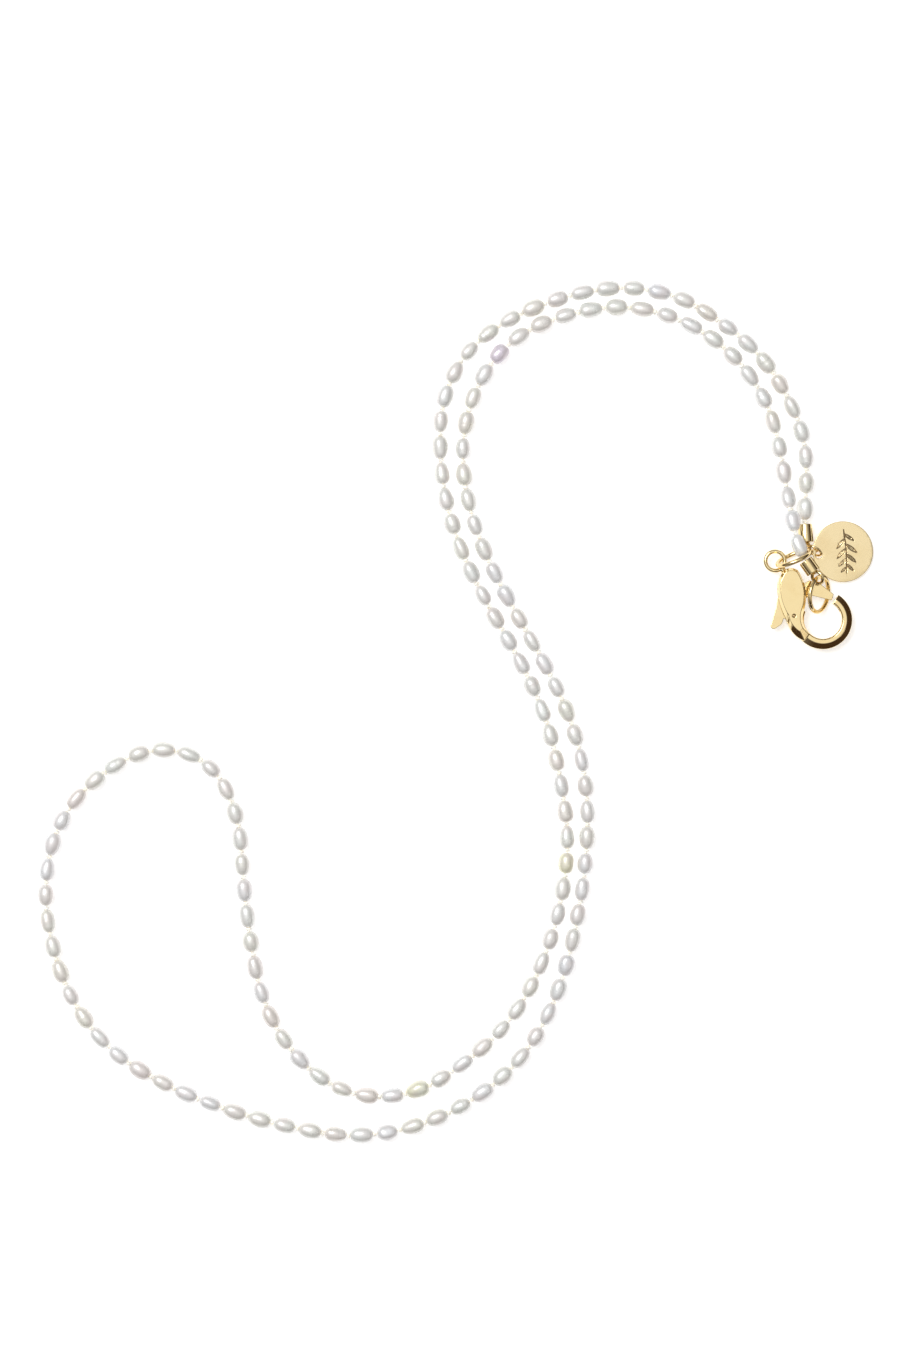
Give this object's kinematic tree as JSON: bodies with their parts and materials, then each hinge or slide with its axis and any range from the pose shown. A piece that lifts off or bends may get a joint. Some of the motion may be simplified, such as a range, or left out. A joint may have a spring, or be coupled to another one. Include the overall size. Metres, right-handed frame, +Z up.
{
  "type": "pearl necklace",
  "caption": "Long strand of small oval pearls knotted on silk, laid in a doubled loop, with tubular end caps, jump rings, a lever-gated lobster clasp and a round engraved tag.",
  "frame": {"origin": "centre of the bounding box in plan, on the surface the necklace lies on", "axes": "+Z up from the surface, +Y away from the single end loop, +X towards the clasp"},
  "size_m": [0.1674, 0.1726, 0.0079],
  "materials": {
    "pearl": "soft pearly lustre",
    "silk_thread": "matt twisted silk",
    "silk_knot": "matt twisted silk",
    "gold": "polished pale gold",
    "gold_wire": "polished drawn wire",
    "gold_disc": "polished sheet with fine scratches",
    "gold_pin": "turned pin, peened",
    "spring_steel": "rolled spring strip"
  },
  "bodies": {
    "strand": {"silk_thread": "silk_thread", "thread_end_knots": "silk_knot", "end_cap_outer": "gold", "end_cap_inner": "gold", "pearls_01": "pearl", "pearls_02": "pearl", "pearls_03": "pearl", "pearls_04": "pearl", "pearls_05": "pearl", "pearls_06": "pearl", "pearls_07": "pearl", "pearls_08": "pearl", "pearls_09": "pearl", "pearls_10": "pearl", "pearls_11": "pearl", "pearls_12": "pearl", "pearls_13": "pearl", "pearls_14": "pearl", "pearls_15": "pearl", "silk_knots_01": "silk_knot", "silk_knots_02": "silk_knot", "silk_knots_03": "silk_knot", "silk_knots_04": "silk_knot", "silk_knots_05": "silk_knot", "silk_knots_06": "silk_knot", "silk_knots_07": "silk_knot", "silk_knots_08": "silk_knot", "silk_knots_09": "silk_knot", "silk_knots_10": "silk_knot", "silk_knots_11": "silk_knot", "silk_knots_12": "silk_knot", "silk_knots_13": "silk_knot", "silk_knots_14": "silk_knot", "silk_knots_15": "silk_knot"},
    "clasp_link": {"clasp_ring": "gold_wire"},
    "clasp": {"clasp_body": "gold", "lever_pin": "gold_pin", "lever_spring": "spring_steel"},
    "lever": {"clasp_lever": "gold"},
    "catch_link": {"catch_ring": "gold_wire"},
    "charm_link": {"charm_ring": "gold_wire"},
    "charm": {"charm_disc": "gold_disc"}
  },
  "joints": [
    {"name": "clasp_link_swing", "type": "hinge", "parent": "strand", "child": "clasp_link", "pos_m": [0.0709, 0.0313, 0.00225], "axis": [0, 0, 1], "range_deg": [-3, 3]},
    {"name": "clasp_swing", "type": "hinge", "parent": "clasp_link", "child": "clasp", "pos_m": [0.0649, 0.0298, 0.00225], "axis": [0, 0, 1], "range_deg": [-3, 3]},
    {"name": "lever_pivot", "type": "hinge", "parent": "clasp", "child": "lever", "pos_m": [0.0678, 0.019, 0.00225], "axis": [0, 0, -1], "range_deg": [0, 12], "stiffness_Nm_per_rad": 0.002, "springref_deg": -8.59, "deforming": ["lever_spring"]},
    {"name": "catch_link_swing", "type": "hinge", "parent": "strand", "child": "catch_link", "pos_m": [0.0729, 0.0256, 0.00515], "axis": [0, 0, 1], "range_deg": [-4, 4]},
    {"name": "charm_link_swing", "type": "hinge", "parent": "strand", "child": "charm_link", "pos_m": [0.0709, 0.0313, 0.0024], "axis": [0.139, -0.9903, 0], "range_deg": [-4, 4]},
    {"name": "charm_swing", "type": "hinge", "parent": "charm_link", "child": "charm", "pos_m": [0.07305, 0.03122, 0.00116], "axis": [0.139, -0.9903, 0], "range_deg": [-8, 8]}
  ]
}
